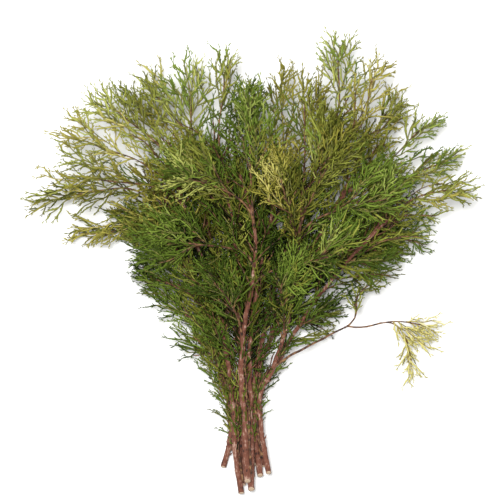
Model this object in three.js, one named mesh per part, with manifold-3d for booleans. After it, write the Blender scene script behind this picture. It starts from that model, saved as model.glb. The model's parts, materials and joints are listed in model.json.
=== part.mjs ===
// A bunch of cut cypress, as a florist sells it: ten woody stems gathered at a waist, lying on a table, their
// cut ends pointing towards -Y and their foliage fanned out towards +Y. The bunch is rather flat, with thin
// sprays round its rim, thick brushes of foliage on top and a bed of foliage under them. One long side shoot
// leaves the bunch low on the right and ends in a pale spray of its own.
//
// Stems and side boughs are tapering limbs. Each mass of foliage is one closed, uneven plume on its own axis,
// cut clear of the limbs and of the plumes that were placed before it.
//
// Everything is drawn from the waist: x runs across the bunch, y from the cut ends to the tips, and z up from
// the table. The finished group is then moved so that its origin is the middle of its box, on the table.
// All sizes are in millimetres, and all angles in radians.

import * as THREE from "three";
import { mergeVertices } from "three/addons/utils/BufferGeometryUtils.js";
import Module from "manifold-3d";

const wasm = await Module();
wasm.setup();

// ---------------------------------------------------------------- driving sizes

const GAP = 0.35; // air between a mass and whatever it is cut round
const TABLE = 0; // the height of the table

const STEM = { footRadius: 4.4, topRadius: 1.6, sides: 8, steps: 8 };
const BOUGH = { footRadius: 2.4, topRadius: 1.2, sides: 6, steps: 5 };
const PLUME = {
  sides: 10,
  steps: 6,
  widestAt: 0.58, // of the way from its start to its tip
  neck: 0.5, // of the egg's own radius, where it starts
  least: 0.12, // of its greatest radius, at its first and last rings
  lobe: 0.14, // how deep its three lobes are
  ripple: 0.08, // how deep its five ripples are
};

// Each stem: its cut foot, where it passes the waist, its top, how far its upper run bows to the right, how
// far it swings left and then right on the way, how far its heel kicks to the left, and how thick it is next
// to the rest.
const stems = {
  stem_a: {
    foot: [-37, -101, 8], waist: [-31, 14], top: [-137, 274, 62],
    bow: 14, swing: 0, kick: -9, thick: 0.9,
  },
  stem_b: {
    foot: [-11, -137, 22], waist: [-24, 27], top: [-106, 322, 88],
    bow: 10, swing: -3, kick: 3, thick: 0.95,
  },
  stem_c: {
    foot: [-9, -126, 12], waist: [-18, 16], top: [-72, 342, 54],
    bow: -6, swing: 4, kick: 0, thick: 0.9,
  },
  stem_d: {
    foot: [5, -114, 18], waist: [-6, 28], top: [-40, 348, 90],
    bow: 6, swing: 3, kick: 0, thick: 0.85,
  },
  stem_e: {
    foot: [3, -131, 29], waist: [2, 33], top: [46, 348, 84],
    bow: -10, swing: 4, kick: 0, thick: 1,
  },
  stem_f: {
    foot: [16, -112, 17], waist: [7, 20], top: [119, 386, 74],
    bow: -16, swing: 2, kick: 3, thick: 1,
  },
  stem_g: {
    foot: [28, -107, 30], waist: [16, 33], top: [76, 312, 104],
    bow: 17, swing: -3, kick: 3, thick: 0.9,
  },
  stem_h: {
    foot: [-2, -118, 39], waist: [-8, 42], top: [-13, 315, 108],
    bow: 14, swing: 10, kick: 0, thick: 1.15,
  },
  stem_i: {
    foot: [8, -98, 5.3], waist: [3, 8], top: [164, 350, 48],
    bow: -12, swing: 3, kick: 0, thick: 1,
  },
  stem_j: {
    foot: [20, -100, 8], waist: [15, 12], top: [211, 268, 82],
    bow: -18, swing: 0, kick: 0, thick: 0.9,
  },
};

// Each bough: the stem or bough it forks from, how far along it the fork is, its top, and its bow.
const boughs = {
  bough_left_low: { on: "stem_a", at: 0.68, top: [-120, 250, 38], bow: 5 },
  bough_left_up: { on: "stem_a", at: 0.72, top: [-127, 304, 86], bow: 4 },
  bough_gap: { on: "stem_c", at: 0.8, top: [-99, 336, 40], bow: 5 },
  bough_crest: { on: "stem_d", at: 0.8, top: [-66, 344, 84], bow: 3 },
  bough_spire: { on: "stem_f", at: 0.84, top: [145, 372, 92], bow: -4 },
  bough_right_up: { on: "stem_i", at: 0.8, top: [188, 330, 60], bow: -4 },
  bough_right_mid: { on: "stem_j", at: 0.78, top: [206, 292, 58], bow: 4 },
  bough_right_low: { on: "stem_j", at: 0.72, top: [192, 230, 46], bow: -4 },
  shoot: { on: "stem_g", at: 0.36, top: [141, 103, 46], bow: 8 },
  shoot_end: { on: "shoot", at: 0.985, top: [189, 107, 44], bow: 5 },
  shoot_side: { on: "shoot", at: 0.985, top: [152, 136, 48], bow: 2 },
};

// Each plume: the limb whose top it grows from, or the place it starts at; its tip; half its greatest width
// and depth; how far its axis bows to the right on the way to the tip; and its tint.
const plumes = {
  // the rim of the fan, from the left round to the right
  rim_far_left: { from: "stem_a", tip: [-321, 302, 42], half: [31, 28], bow: -6, tint: "olive" },
  rim_left_low: { from: "bough_left_low", tip: [-252, 232, 20], half: [24, 24], bow: -6, tint: "gold" },
  rim_left_up: { from: "bough_left_up", tip: [-272, 384, 80], half: [36, 30], bow: 2, tint: "gold" },
  rim_left_crest: { from: "stem_b", tip: [-214, 440, 98], half: [28, 28], bow: 2, tint: "olive" },
  rim_left_gap: { from: "bough_gap", tip: [-186, 446, 20], half: [17, 22], bow: 4, tint: "olive" },
  rim_upper_left: { from: "stem_c", tip: [-146, 470, 30], half: [30, 30], bow: -4, tint: "olive" },
  rim_upper_mid: { from: "bough_crest", tip: [-100, 480, 78], half: [30, 28], bow: 6, tint: "green" },
  rim_crown_left: { from: "stem_d", tip: [-34, 494, 84], half: [27, 26], bow: 0, tint: "green" },
  rim_gold_spike: { from: "stem_e", tip: [46, 476, 84], half: [18, 20], bow: -2, tint: "gold" },
  rim_crown_right: { from: "stem_g", tip: [78, 466, 104], half: [26, 24], bow: 0, tint: "olive" },
  rim_spire: { from: "stem_f", tip: [126, 525, 56], half: [23, 22], bow: 0, tint: "olive" },
  rim_spire_right: { from: "bough_spire", tip: [190, 480, 100], half: [26, 24], bow: -6, tint: "gold" },
  rim_right_crest: { from: "stem_i", tip: [224, 436, 24], half: [26, 26], bow: -4, tint: "olive" },
  rim_right_up: { from: "bough_right_up", tip: [276, 404, 50], half: [20, 20], bow: -5, tint: "green" },
  rim_right_far: { from: "bough_right_mid", tip: [310, 350, 42], half: [19, 22], bow: -6, tint: "green" },
  rim_right: { from: "stem_j", tip: [321, 298, 90], half: [19, 22], bow: -8, tint: "olive" },
  rim_right_low: { from: "bough_right_low", tip: [262, 232, 22], half: [26, 24], bow: -6, tint: "green" },
  rim_right_skirt: { start: [104, 176, 64], tip: [212, 208, 40], half: [28, 26], bow: 3, tint: "green" },
  // low on both sides of the stems
  skirt_right: { start: [44, 92, 30], tip: [122, 136, 24], half: [27, 26], bow: 4, tint: "green" },
  skirt_left: { start: [-78, 142, 32], tip: [-166, 194, 24], half: [18, 22], bow: -6, tint: "green" },
  antler_left: { start: [-62, 70, 34], tip: [-158, 178, 28], half: [19, 18], bow: 4, tint: "green" },
  tuft_left: { start: [-46, 46, 22], tip: [-106, 84, 18], half: [15, 16], bow: -2, tint: "green" },
  sleeve_left: { start: [-38, -46, 18], tip: [-64, 132, 34], half: [19, 17], bow: 0, tint: "green" },
  // the long side shoot
  shoot_spray: { from: "shoot_end", tip: [274, 96, 28], half: [22, 17], bow: -3, tint: "pale" },
  shoot_hanging: { start: [216, 92, 30], tip: [239, 24, 14], half: [16, 14], bow: -2, tint: "pale" },
  shoot_sprigs: { from: "shoot_side", tip: [184, 188, 46], half: [13, 13], bow: 3, tint: "olive" },
  // the brushes on top
  front_far_left: { start: [-110, 272, 112], tip: [-262, 330, 86], half: [30, 23], bow: 3, tint: "gold" },
  front_left: { start: [-26, 184, 124], tip: [-152, 248, 112], half: [50, 34], bow: 2, tint: "green" },
  front_left_up: { start: [-20, 250, 132], tip: [-116, 344, 128], half: [42, 30], bow: 5, tint: "olive" },
  front_crown: { start: [4, 258, 134], tip: [2, 440, 122], half: [38, 30], bow: -4, tint: "green" },
  front_gold: { start: [50, 198, 138], tip: [44, 356, 138], half: [36, 28], bow: 2, tint: "gold" },
  front_right_up: { start: [92, 236, 128], tip: [120, 398, 120], half: [44, 30], bow: 4, tint: "olive" },
  front_right: { start: [104, 212, 130], tip: [206, 336, 120], half: [42, 30], bow: 4, tint: "green" },
  front_right_low: { start: [52, 136, 118], tip: [158, 256, 112], half: [45, 30], bow: 6, tint: "green" },
  front_low: { start: [6, 92, 96], tip: [-64, 196, 110], half: [34, 28], bow: 2, tint: "green" },
  front_low_right: { start: [30, 86, 92], tip: [52, 216, 110], half: [33, 26], bow: 2, tint: "green" },
  // the bed of foliage under the stems
  bed_left: { start: [-40, 136, 14], tip: [-186, 270, 17], half: [46, 26], bow: -4, tint: "green" },
  bed_centre: { start: [-12, 112, 14], tip: [-14, 330, 17], half: [56, 26], bow: 0, tint: "green" },
  bed_right: { start: [56, 124, 14], tip: [214, 292, 17], half: [52, 26], bow: 10, tint: "green" },
};

const BARK = { color: 0x84513f, roughness: 0.85, metalness: 0 };
const FOLIAGE = { roughness: 0.7, metalness: 0 };
const TINTS = { green: 0x5d7030, olive: 0x85863c, gold: 0xa39b4a, pale: 0xd2c68a };

// ---------------------------------------------------------------- axes

const up = new THREE.Vector3(0, 0, 1);
const point = ([x, y, z]) => new THREE.Vector3(x, y, z);

// The direction to the right of a run, level with the table.
const rightOf = (run) => new THREE.Vector3().crossVectors(run, up).normalize();

// Points on the way from a to b: bowed once to the right, and swung first left and then right.
function swungRun(a, b, bow, swing, count) {
  const right = rightOf(new THREE.Vector3().subVectors(b, a));
  return Array.from({ length: count }, (_, i) => {
    const t = (i + 1) / count;
    const out = bow * Math.sin(Math.PI * t) - swing * Math.sin(2 * Math.PI * t);
    return new THREE.Vector3().lerpVectors(a, b, t).addScaledVector(right, out);
  });
}

// A stem runs from its foot, which kicks to one side just above the cut, past the waist and up to its top.
function stemCurve({ foot, waist, top, bow, swing, kick }) {
  const start = point(foot);
  const middle = new THREE.Vector3(waist[0], 0, waist[1]);
  const heel = new THREE.Vector3().lerpVectors(start, middle, 0.3).add(new THREE.Vector3(-kick, 0, 0));
  return new THREE.CatmullRomCurve3([start, heel, middle, ...swungRun(middle, point(top), bow, swing, 6)]);
}

// A bough leaves its parent in the parent's own direction and turns towards its top.
function boughCurve({ on, at, top, bow }) {
  const parent = axes[on];
  const start = parent.getPointAt(at);
  const end = point(top);
  const lead = 0.3 * start.distanceTo(end);
  const turn = start.clone().addScaledVector(parent.getTangentAt(at), lead);
  const bent = new THREE.QuadraticBezierCurve3(start, turn, end);
  const right = rightOf(new THREE.Vector3().subVectors(end, start));
  const bowed = bent.getPoints(5).map((p, i) => p.addScaledVector(right, bow * Math.sin((Math.PI * i) / 5)));
  return new THREE.CatmullRomCurve3(bowed);
}

// A plume starts just past the end of its limb and bows to its tip.
function plumeCurve({ from, start, tip, bow }) {
  const end = point(tip);
  const first = from ? axes[from].getPointAt(1) : point(start);
  const base = from ? first.clone().addScaledVector(end.clone().sub(first).normalize(), GAP) : first;
  return new THREE.CatmullRomCurve3([base, ...swungRun(base, end, bow, 0, 4)]);
}

// ---------------------------------------------------------------- bodies

// A shape turned round the Y axis, one long, is laid along a curve: its x goes to the right and its z up.
function layAlong(curve, turned, reshape) {
  const length = curve.getLength();
  const position = turned.getAttribute("position");
  const p = new THREE.Vector3();
  for (let i = 0; i < position.count; i += 1) {
    p.fromBufferAttribute(position, i);
    const t = THREE.MathUtils.clamp(p.y, 0, 1);
    const run = curve.getTangentAt(t);
    const right = rightOf(run);
    const top = new THREE.Vector3().crossVectors(right, run);
    const [across, over] = reshape(p.x, p.z, t, length);
    const placed = curve.getPointAt(t).addScaledVector(right, across).addScaledVector(top, over);
    position.setXYZ(i, placed.x, placed.y, Math.max(placed.z, TABLE));
  }
  turned.deleteAttribute("normal");
  turned.deleteAttribute("uv");
  return mergeVertices(turned, 1e-3);
}

// A closed profile from the axis out and back to the axis, for LatheGeometry.
function closedProfile(radii) {
  const last = radii.length - 1;
  const wall = radii.map(([t, r]) => new THREE.Vector2(r, t));
  return [new THREE.Vector2(0, radii[0][0]), ...wall, new THREE.Vector2(0, radii[last][0])];
}

// A tapering limb with a flat cut at each end. grow makes it that much fatter all over.
function limbShape(curve, { footRadius, topRadius, sides, steps }, grow = 0) {
  const radii = Array.from({ length: steps + 1 }, (_, i) => {
    const t = i / steps;
    return [t, THREE.MathUtils.lerp(footRadius, topRadius, t) + grow];
  });
  return layAlong(curve, new THREE.LatheGeometry(closedProfile(radii), sides), (x, z) => [x, z]);
}

// A plume: narrow where it starts, widest past its middle, round at its tip, and lobed and rippled all round.
function plumeShape(curve, [halfWidth, halfDepth], order, grow = 0) {
  const { sides, steps, widestAt, neck, least, lobe, ripple } = PLUME;
  const radii = Array.from({ length: steps }, (_, i) => {
    const t = (i + 0.35) / (steps - 0.3);
    const side = t < widestAt ? widestAt : 1 - widestAt;
    const egg = Math.sqrt(Math.max(1 - ((t - widestAt) / side) ** 2, 0));
    return [t, Math.max(egg, least) * (t < widestAt ? neck + ((1 - neck) * t) / widestAt : 1)];
  });
  const wall = radii.map(([t, r]) => new THREE.Vector2(r, t));
  const profile = [new THREE.Vector2(0, 0), ...wall, new THREE.Vector2(0, 1)];
  return layAlong(curve, new THREE.LatheGeometry(profile, sides), (x, z, t) => {
    const turn = Math.atan2(z, x);
    const uneven =
      1 + lobe * Math.sin(3 * turn + 1.7 * order + 5 * t) + ripple * Math.sin(5 * turn - 2.3 * order + 9 * t);
    const r = Math.hypot(x, z);
    const more = r > 0 ? grow / r : 0;
    return [x * (halfWidth * uneven + more), z * (halfDepth * uneven + more)];
  });
}

// ---------------------------------------------------------------- cutting and placing

function solidOf(geometry) {
  const vertProperties = geometry.getAttribute("position").array;
  const triVerts = new Uint32Array(geometry.index.array);
  return new wasm.Manifold(new wasm.Mesh({ numProp: 3, vertProperties, triVerts }));
}

function geometryOf(solid) {
  const { numProp, numVert, vertProperties, triVerts } = solid.getMesh();
  const positions = new Float32Array(numVert * 3);
  for (let i = 0; i < numVert; i += 1) {
    positions.set(vertProperties.subarray(i * numProp, i * numProp + 3), i * 3);
  }
  const geometry = new THREE.BufferGeometry();
  geometry.setAttribute("position", new THREE.BufferAttribute(positions, 3));
  geometry.setIndex(new THREE.BufferAttribute(triVerts, 1));
  return geometry;
}

const bunch = new THREE.Group();
const taken = []; // what is in place already, a gap fatter than it is

// Cuts a shape clear of all that is in place, keeps its largest piece, and adds it to the bunch.
function place(name, shape, fatter, material) {
  const cut = taken.reduce((left, other) => left.subtract(other), solidOf(shape));
  const pieces = cut.decompose().sort((a, b) => b.volume() - a.volume());
  const mesh = new THREE.Mesh(geometryOf(pieces[0]), new THREE.MeshStandardMaterial(material));
  mesh.name = name;
  bunch.add(mesh);
  taken.push(solidOf(fatter));
}

const axes = {};
for (const [name, stem] of Object.entries(stems)) {
  axes[name] = stemCurve(stem);
  const size = { ...STEM, footRadius: STEM.footRadius * stem.thick };
  place(name, limbShape(axes[name], size), limbShape(axes[name], size, GAP), BARK);
}
for (const [name, bough] of Object.entries(boughs)) {
  axes[name] = boughCurve(bough);
  place(name, limbShape(axes[name], BOUGH), limbShape(axes[name], BOUGH, GAP), BARK);
}
Object.entries(plumes).forEach(([name, plume], order) => {
  const curve = plumeCurve(plume);
  const material = { ...FOLIAGE, color: TINTS[plume.tint] };
  place(name, plumeShape(curve, plume.half, order), plumeShape(curve, plume.half, order, GAP), material);
});

// The origin is the middle of the bunch's box, on the table.
const box = new THREE.Box3().setFromObject(bunch);
const middle = box.getCenter(new THREE.Vector3());
bunch.position.set(-middle.x, -middle.y, -box.min.z);

export default bunch;
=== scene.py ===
"""A florist's bunch of cut cypress, lying on a pale table.

Ten bare, reddish-barked stems are gathered at one end, and their foliage fans out at the other. The stems
and boughs follow the solids of the frame. Twigs grow on from them by a seeded rule and fill the space that
the frame gives each mass of foliage. Along the twigs grow sprays: short axes with branchlets on both sides,
and scale-leaved prongs on those. Tints are dealt out spray by spray.
"""

import json
import math

import bpy
import numpy as np
from bpy.props import FloatProperty, FloatVectorProperty, IntProperty, PointerProperty, StringProperty
from mathutils import Matrix, Vector, noise

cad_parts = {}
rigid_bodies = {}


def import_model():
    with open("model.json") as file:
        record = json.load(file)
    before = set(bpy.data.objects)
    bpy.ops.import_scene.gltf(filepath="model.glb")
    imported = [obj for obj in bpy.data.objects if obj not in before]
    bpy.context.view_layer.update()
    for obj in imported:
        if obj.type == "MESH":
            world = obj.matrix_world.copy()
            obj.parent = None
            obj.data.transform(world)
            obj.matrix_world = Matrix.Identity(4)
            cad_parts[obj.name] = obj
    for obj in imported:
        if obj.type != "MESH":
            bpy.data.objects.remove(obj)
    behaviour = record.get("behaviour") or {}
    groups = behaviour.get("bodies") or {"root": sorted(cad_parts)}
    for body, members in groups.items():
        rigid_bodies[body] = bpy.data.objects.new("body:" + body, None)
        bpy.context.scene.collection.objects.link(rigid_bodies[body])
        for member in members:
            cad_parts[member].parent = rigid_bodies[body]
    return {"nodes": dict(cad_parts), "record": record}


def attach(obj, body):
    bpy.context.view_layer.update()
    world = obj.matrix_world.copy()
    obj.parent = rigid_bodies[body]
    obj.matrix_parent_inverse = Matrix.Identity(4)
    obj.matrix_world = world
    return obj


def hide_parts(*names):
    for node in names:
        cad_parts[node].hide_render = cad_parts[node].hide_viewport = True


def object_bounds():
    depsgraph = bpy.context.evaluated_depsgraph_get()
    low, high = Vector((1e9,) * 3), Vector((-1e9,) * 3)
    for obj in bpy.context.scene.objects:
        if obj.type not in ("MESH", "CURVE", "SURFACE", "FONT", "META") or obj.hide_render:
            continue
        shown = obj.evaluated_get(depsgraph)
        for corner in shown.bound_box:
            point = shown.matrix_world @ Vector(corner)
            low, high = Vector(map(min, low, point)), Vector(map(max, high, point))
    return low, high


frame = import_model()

bl_info = {
    "name": "Cut cypress bunch",
    "version": (1, 0, 0),
    "blender": (4, 5, 0),
    "location": "View3D > Sidebar > Cypress",
    "description": "Makes a florist's bunch of cut cypress, lying on a table",
    "category": "Object",
}

MM = 0.001
CAD_BOX = [list(corner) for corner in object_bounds()]
BODY = "root"
UP = np.array([0.0, 0.0, 1.0])
GOLDEN_ANGLE = math.pi * (3 - math.sqrt(5))
# How far from the middle of the bunch its rim begins, and the share of that past which a mass belongs to it.
RIM = 255 * MM
RIM_SHARE = 0.75
# Where the stems are gathered.
WAIST = np.array([0.0, -190 * MM, 20 * MM])
# The height that no spray's tip rises above. Bushy branchlets reach higher than the tip.
CEILING = CAD_BOX[1][2] - 22 * MM

# Which limb each bough forks from. The stems fork from nothing.
PARENTS = {
    "bough_left_low": "stem_a",
    "bough_left_up": "stem_a",
    "bough_gap": "stem_c",
    "bough_crest": "stem_d",
    "bough_spire": "stem_f",
    "bough_right_up": "stem_i",
    "bough_right_mid": "stem_j",
    "bough_right_low": "stem_j",
    "shoot": "stem_g",
    "shoot_end": "shoot",
    "shoot_side": "shoot",
}
STEMS = sorted(name for name in frame["nodes"] if name.startswith("stem_"))
LIMBS = STEMS + list(PARENTS)
SHOOTS = [name for name in PARENTS if name.startswith("shoot")]
# The parts of the shoot that carry no sprays of their own.
BARE_SHOOTS = ("shoot", "shoot_end")
# The fixed seeds of the stubs and cuts on the bark, and of the dead twigs.
BARK_SEED, DEAD_TWIG_SEED = 3, 5
# How many rings of corners a limb's solid has, at the least.
STEM_RINGS, BOUGH_RINGS = 8, 5
MASSES = sorted(set(frame["nodes"]) - set(LIMBS))
SLOTS = {part["node"]: part["material_slot"] for part in frame["record"]["subparts"]}

# The parts of limbs that stay in view from above, from 0 at a limb's foot to 1 at its tip.
IN_VIEW = {"stem_h": (0.3, 0.85), "stem_j": (0.48, 0.85), "stem_f": (0.5, 0.62), "bough_right_mid": (0.1, 0.6)}

# The tints of the foliage, by the record's slot, from the darkest, painted shade for sprays deep inside the
# bunch, to the lightest, painted light for those on top and at its rim.
TINTS = {
    "foliage_green": ("#172103", "#3c4d10", "#576a20", "#728532", "#8f9c4b"),
    "foliage_olive": ("#272a06", "#515416", "#707329", "#888d3b", "#a5aa58"),
    "foliage_gold": ("#463613", "#696320", "#878233", "#9c9544", "#b0aa5c"),
    "foliage_pale": ("#b1a758", "#cbc37b", "#ddd6a1"),
}
# The families that a mass's sprays mix with, from greenest to yellowest.
FAMILIES = ("foliage_green", "foliage_olive", "foliage_gold")
# A spray's tone picks its tint, from 0 for the deepest to 1 for the lightest. It starts low, as painted shade
# deep inside the bunch; painted light is added at the rim, where young tips are also lighter, and on top; a lift
# is added everywhere, and it is darker towards the feet.
SHADED_TONE_INSIDE, RIM_TIPS_AND_PAINTED_LIGHT, PAINTED_LIGHT_ON_TOP, TONE_LIFT, TONE_FEET = 0.24, 0.27, 0.12, 0.06, -0.08
# The height at which all of the painted light on top is added.
CROWN_HEIGHT = 120 * MM
# How much tones and families vary in patches, how large those are, and how much they vary by chance.
TONE_PATCH, TONE_PATCH_SIZE, TONE_CHANCE = 0.18, 70 * MM, 0.13
FAMILY_PATCH, FAMILY_PATCH_SIZE, FAMILY_CHANCE = 0.75, 55 * MM, 0.4

# Where the lamp hangs over the bunch, and its side.
LAMP_PLACE = Vector((-0.30, 0.42, 3.4))
LAMP_SIDE = 0.9
# The table lies this far below the bunch, so that the two never touch.
TABLE_GAP = 0.4 * MM


def linear(code):
    """An sRGB hex colour as linear red, green, blue and alpha."""
    parts = [int(code[i : i + 2], 16) / 255 for i in (1, 3, 5)]
    return [p / 12.92 if p <= 0.04045 else ((p + 0.055) / 1.055) ** 2.4 for p in parts] + [1.0]


def length(name, description, millimetres):
    """A size in metres, given in millimetres."""
    return FloatProperty(name=name, description=description, default=millimetres * MM, unit="LENGTH")


def angle(name, description, degrees):
    """An angle in radians, given in degrees."""
    return FloatProperty(name=name, description=description, default=math.radians(degrees), subtype="ANGLE")


def colour(name, description, code):
    """A colour, given as an sRGB hex code."""
    return FloatVectorProperty(
        name=name, description=description, default=linear(code), size=4, subtype="COLOR", min=0, max=1
    )


class CypressBark(bpy.types.PropertyGroup):
    """Sizes and colours of the bark on stems, boughs and twigs."""

    step: length("Ring step", "Length of limb from one ring of its mesh to the next", 2.5)
    stem_sides: IntProperty(name="Stem sides", description="Sides of a stem's mesh", default=20, min=6)
    bough_sides: IntProperty(name="Bough sides", description="Sides of a bough's mesh", default=10, min=5)
    twig_sides: IntProperty(name="Twig sides", description="Sides of a twig's mesh", default=5, min=3)
    bough_foot: length("Bough foot", "Radius of a bough at its foot", 2.3)
    bough_tip: length("Bough tip", "Radius of a bough at its tip", 1.1)
    shoot_foot: length("Shoot foot", "Radius of the long side shoot at its foot", 2.0)
    shoot_tip: length("Shoot tip", "Radius of the long side shoot at its tip", 1.15)
    sway: FloatProperty(
        name="Sway", description="How far a limb sways off its line, over its radius", default=0.26
    )
    ridge: FloatProperty(name="Ridges", description="Height of the bark's ridges over its radius", default=0.09)
    knot_every: length("Knot spacing", "Length of limb for each knot", 6.0)
    knot_height: FloatProperty(name="Knots", description="Height of a knot over the radius", default=0.34)
    stub_every: length("Stub spacing", "Length of bare stem for each stub of a broken twig", 7.0)
    stub: length("Stub", "Length of a stub", 8.0)
    bare_twigs: IntProperty(name="Dead twigs", description="Dead twigs along each stem", default=1, min=0)
    cut_slope: angle("Cut slope", "Slope of the cut at the foot of a stem", 36)
    light: colour("Light bark", "Weathered flakes of bark", "#ad8c7b")
    middle: colour("Bark", "The bark's main colour", "#6c3f2e")
    dark: colour("Dark bark", "Cracks between the flakes", "#23110b")
    brown_dark: colour("Dark woody twig", "Dark patches on woody twigs", "#2d1b11")
    brown_middle: colour("Woody twig", "The main colour of woody twigs", "#593925")
    brown_light: colour("Light woody twig", "Light patches on woody twigs", "#886441")
    green_dark: colour("Dark green twig", "Dark patches on green twigs", "#45471c")
    green_middle: colour("Green twig", "The main colour of green twigs", "#68692e")
    green_light: colour("Light green twig", "Light patches on green twigs", "#888240")
    pale_dark: colour("Dark pale twig", "Dark patches on pale twigs", "#6f5f2c")
    pale_middle: colour("Pale twig", "The main colour of pale twigs", "#a1924b")
    pale_light: colour("Light pale twig", "Light patches on pale twigs", "#c4b873")
    wood: colour("Cut wood", "Fresh wood on the cut ends", "#c8b49b")
    wood_ring: colour("Growth rings", "Darker rings in the cut wood", "#a68464")


class CypressSprays(bpy.types.PropertyGroup):
    """Sizes of the patterns that the sprays are copies of."""

    seed: IntProperty(name="Seed", description="Seed of the spray patterns", default=11)
    variants: IntProperty(name="Variants", description="Patterns for each length of spray", default=8, min=1)
    short: length("Short spray", "Length of the shortest pattern", 46)
    middle: length("Middle spray", "Length of the middle pattern", 70)
    long: length("Long spray", "Length of the longest pattern", 96)
    branchlet_every: length("Branchlet spacing", "Length of axis for each branchlet", 8.8)
    branchlet: length("Branchlet", "Length of the longest branchlets", 45)
    branchlet_angle: angle("Branchlet angle", "Angle of a branchlet to its axis at its foot", 35)
    prong_every: length("Prong spacing", "Length of branchlet for each prong", 7.8)
    prong: length("Prong", "Length of a prong", 8.5)
    thickness: length("Thickness", "Thickness of a branchlet", 2.6)


class CypressGrowth(bpy.types.PropertyGroup):
    """The rule that twigs and sprays grow by."""

    seed: IntProperty(name="Seed", description="Seed of the twigs and sprays", default=2)
    twig_area: FloatProperty(
        name="Twig area", description="Section of a mass for each twig, in square metres", default=2.8e-4
    )
    rim_twig_area: FloatProperty(
        name="Rim twig area", description="The same for a mass at the rim of the bunch", default=6.8e-4
    )
    spray_every: length("Spray spacing", "Length of twig for each spray", 15)
    rim_spray_every: length("Rim spray spacing", "The same for a mass at the rim of the bunch", 23)
    spray_angle: angle("Spray angle", "Angle of a spray to its twig", 34)
    stray: FloatProperty(
        name="Stray", description="How far past the side of its mass a spray may reach, over 1", default=1.15
    )
    rim_stray: FloatProperty(
        name="Rim stray", description="The same for a mass at the rim of the bunch", default=1.4
    )
    limb_spray_every: length("Limb spray spacing", "Length of stem or bough for each spray on it", 9)
    bare_stem: length("Bare stem", "Length of stem with only a few sprigs", 170)
    bare_bough: length("Bare bough", "Length of bough with no sprays", 12)
    first_sprig: length("First sprig", "Length of stem with none at all", 55)
    sprig_chance: FloatProperty(
        name="Sprigs", description="Chance of a sprig at each place for one", default=0.8
    )
    clear_stem: StringProperty(
        name="Clear stem", description="A stem with no sprays on its upper side", default="stem_h"
    )
    clearing: FloatProperty(
        name="Clearing", description="Chance that a spray over a limb in view is left out", default=0.85
    )
    clear_width: length("Clearing width", "How far to either side of a limb in view that applies", 9)


class CypressStage(bpy.types.PropertyGroup):
    """The table, the light and the camera."""

    floor_size: length("Table", "Side of the square table top", 9000)
    camera_height: length("Camera height", "Height of the camera above the middle of the bunch", 3000)
    view_width: length("View width", "Width that the camera sees at that height", 700)
    aim_x: length("Aim across", "How far right of the middle the camera aims", 1.4)
    aim_y: length("Aim along", "How far towards the tips from the middle the camera aims", 16.8)
    key_power: FloatProperty(name="Lamp", description="Power of the lamp, in watts", default=148)
    sky: FloatProperty(name="Sky", description="Strength of the light from all sides", default=0.52)
    floor: colour("Table top", "Colour of the table top", "#f4f4f3")


# The tints are properties of their own group, one for each entry of the table above.
CypressTints = type(
    "CypressTints",
    (bpy.types.PropertyGroup,),
    {
        "__doc__": "The tints that are dealt out to the sprays.",
        "__annotations__": {
            f"{slot}_{step}": colour(f"{slot[8:].capitalize()} {step}", "A tint, 0 is the deepest", code)
            for slot, codes in TINTS.items()
            for step, code in enumerate(codes)
        },
    },
)


# ---------------------------------------------------------------- lines and masses


def unit(v):
    """The vector at a length of 1."""
    return v / max(np.linalg.norm(v), 1e-12)


def across(direction):
    """The level direction to the right of a direction."""
    flat = np.cross(direction, UP)
    return unit(flat) if np.linalg.norm(flat) > 1e-6 else np.array([1.0, 0.0, 0.0])


class Line:
    """A path with a radius along it. A young one is a green twig."""

    def __init__(self, points, radii, young=False):
        self.young = young
        self.points = np.asarray(points, float)
        self.radii = np.asarray(radii, float)
        steps = np.linalg.norm(np.diff(self.points, axis=0), axis=1)
        self.along = np.concatenate([[0.0], np.cumsum(steps)])
        self.length = self.along[-1]

    def at(self, s):
        return np.array([np.interp(s, self.along, self.points[:, k]) for k in range(3)])

    def radius(self, s):
        return float(np.interp(s, self.along, self.radii))

    def direction(self, s, reach=3 * MM):
        return unit(self.at(min(s + reach, self.length)) - self.at(max(s - reach, 0.0)))


def smooth(points, radii, step):
    """A line through the points on one smooth curve, with a point every step or so."""
    points = np.asarray(points, float)
    padded = np.vstack([2 * points[0] - points[1], points, 2 * points[-1] - points[-2]])
    path, widths = [], []
    for i in range(len(points) - 1):
        a, b, c, d = padded[i : i + 4]
        count = max(2, round(np.linalg.norm(c - b) / step))
        for k in range(count):
            t = k / count
            path.append(
                0.5 * (2 * b + (c - a) * t + (2 * a - 5 * b + 4 * c - d) * t**2 + (3 * b - a - 3 * c + d) * t**3)
            )
            widths.append(radii[i] + (radii[i + 1] - radii[i]) * t)
    return Line(path + [points[-1]], widths + [radii[-1]])


def bent(start, lead, end, arrive, radii, step, young=False):
    """A line from start to end on one bend: it leaves towards lead and arrives from arrive."""
    count = max(4, round(np.linalg.norm(end - start) / step))
    t = np.linspace(0, 1, count + 1)[:, None]
    path = (
        (1 - t) ** 3 * start
        + 3 * (1 - t) ** 2 * t * (start + lead)
        + 3 * (1 - t) * t**2 * (end - arrive)
        + t**3 * end
    )
    return Line(path, np.linspace(radii[0], radii[1], count + 1), young)


def corners(name):
    """The corners of a node's solid, each one once."""
    mesh = frame["nodes"][name].data
    co = np.empty(len(mesh.vertices) * 3, np.float32)
    mesh.vertices.foreach_get("co", co)
    return np.unique(co.reshape(-1, 3).round(5), axis=0).astype(float)


def main_axis(points):
    """The direction in which points spread the most, and how far along it each of them is."""
    centre = points.mean(axis=0)
    axis = np.linalg.svd(points - centre, full_matrices=False)[2][0]
    return axis, (points - centre) @ axis


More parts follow.
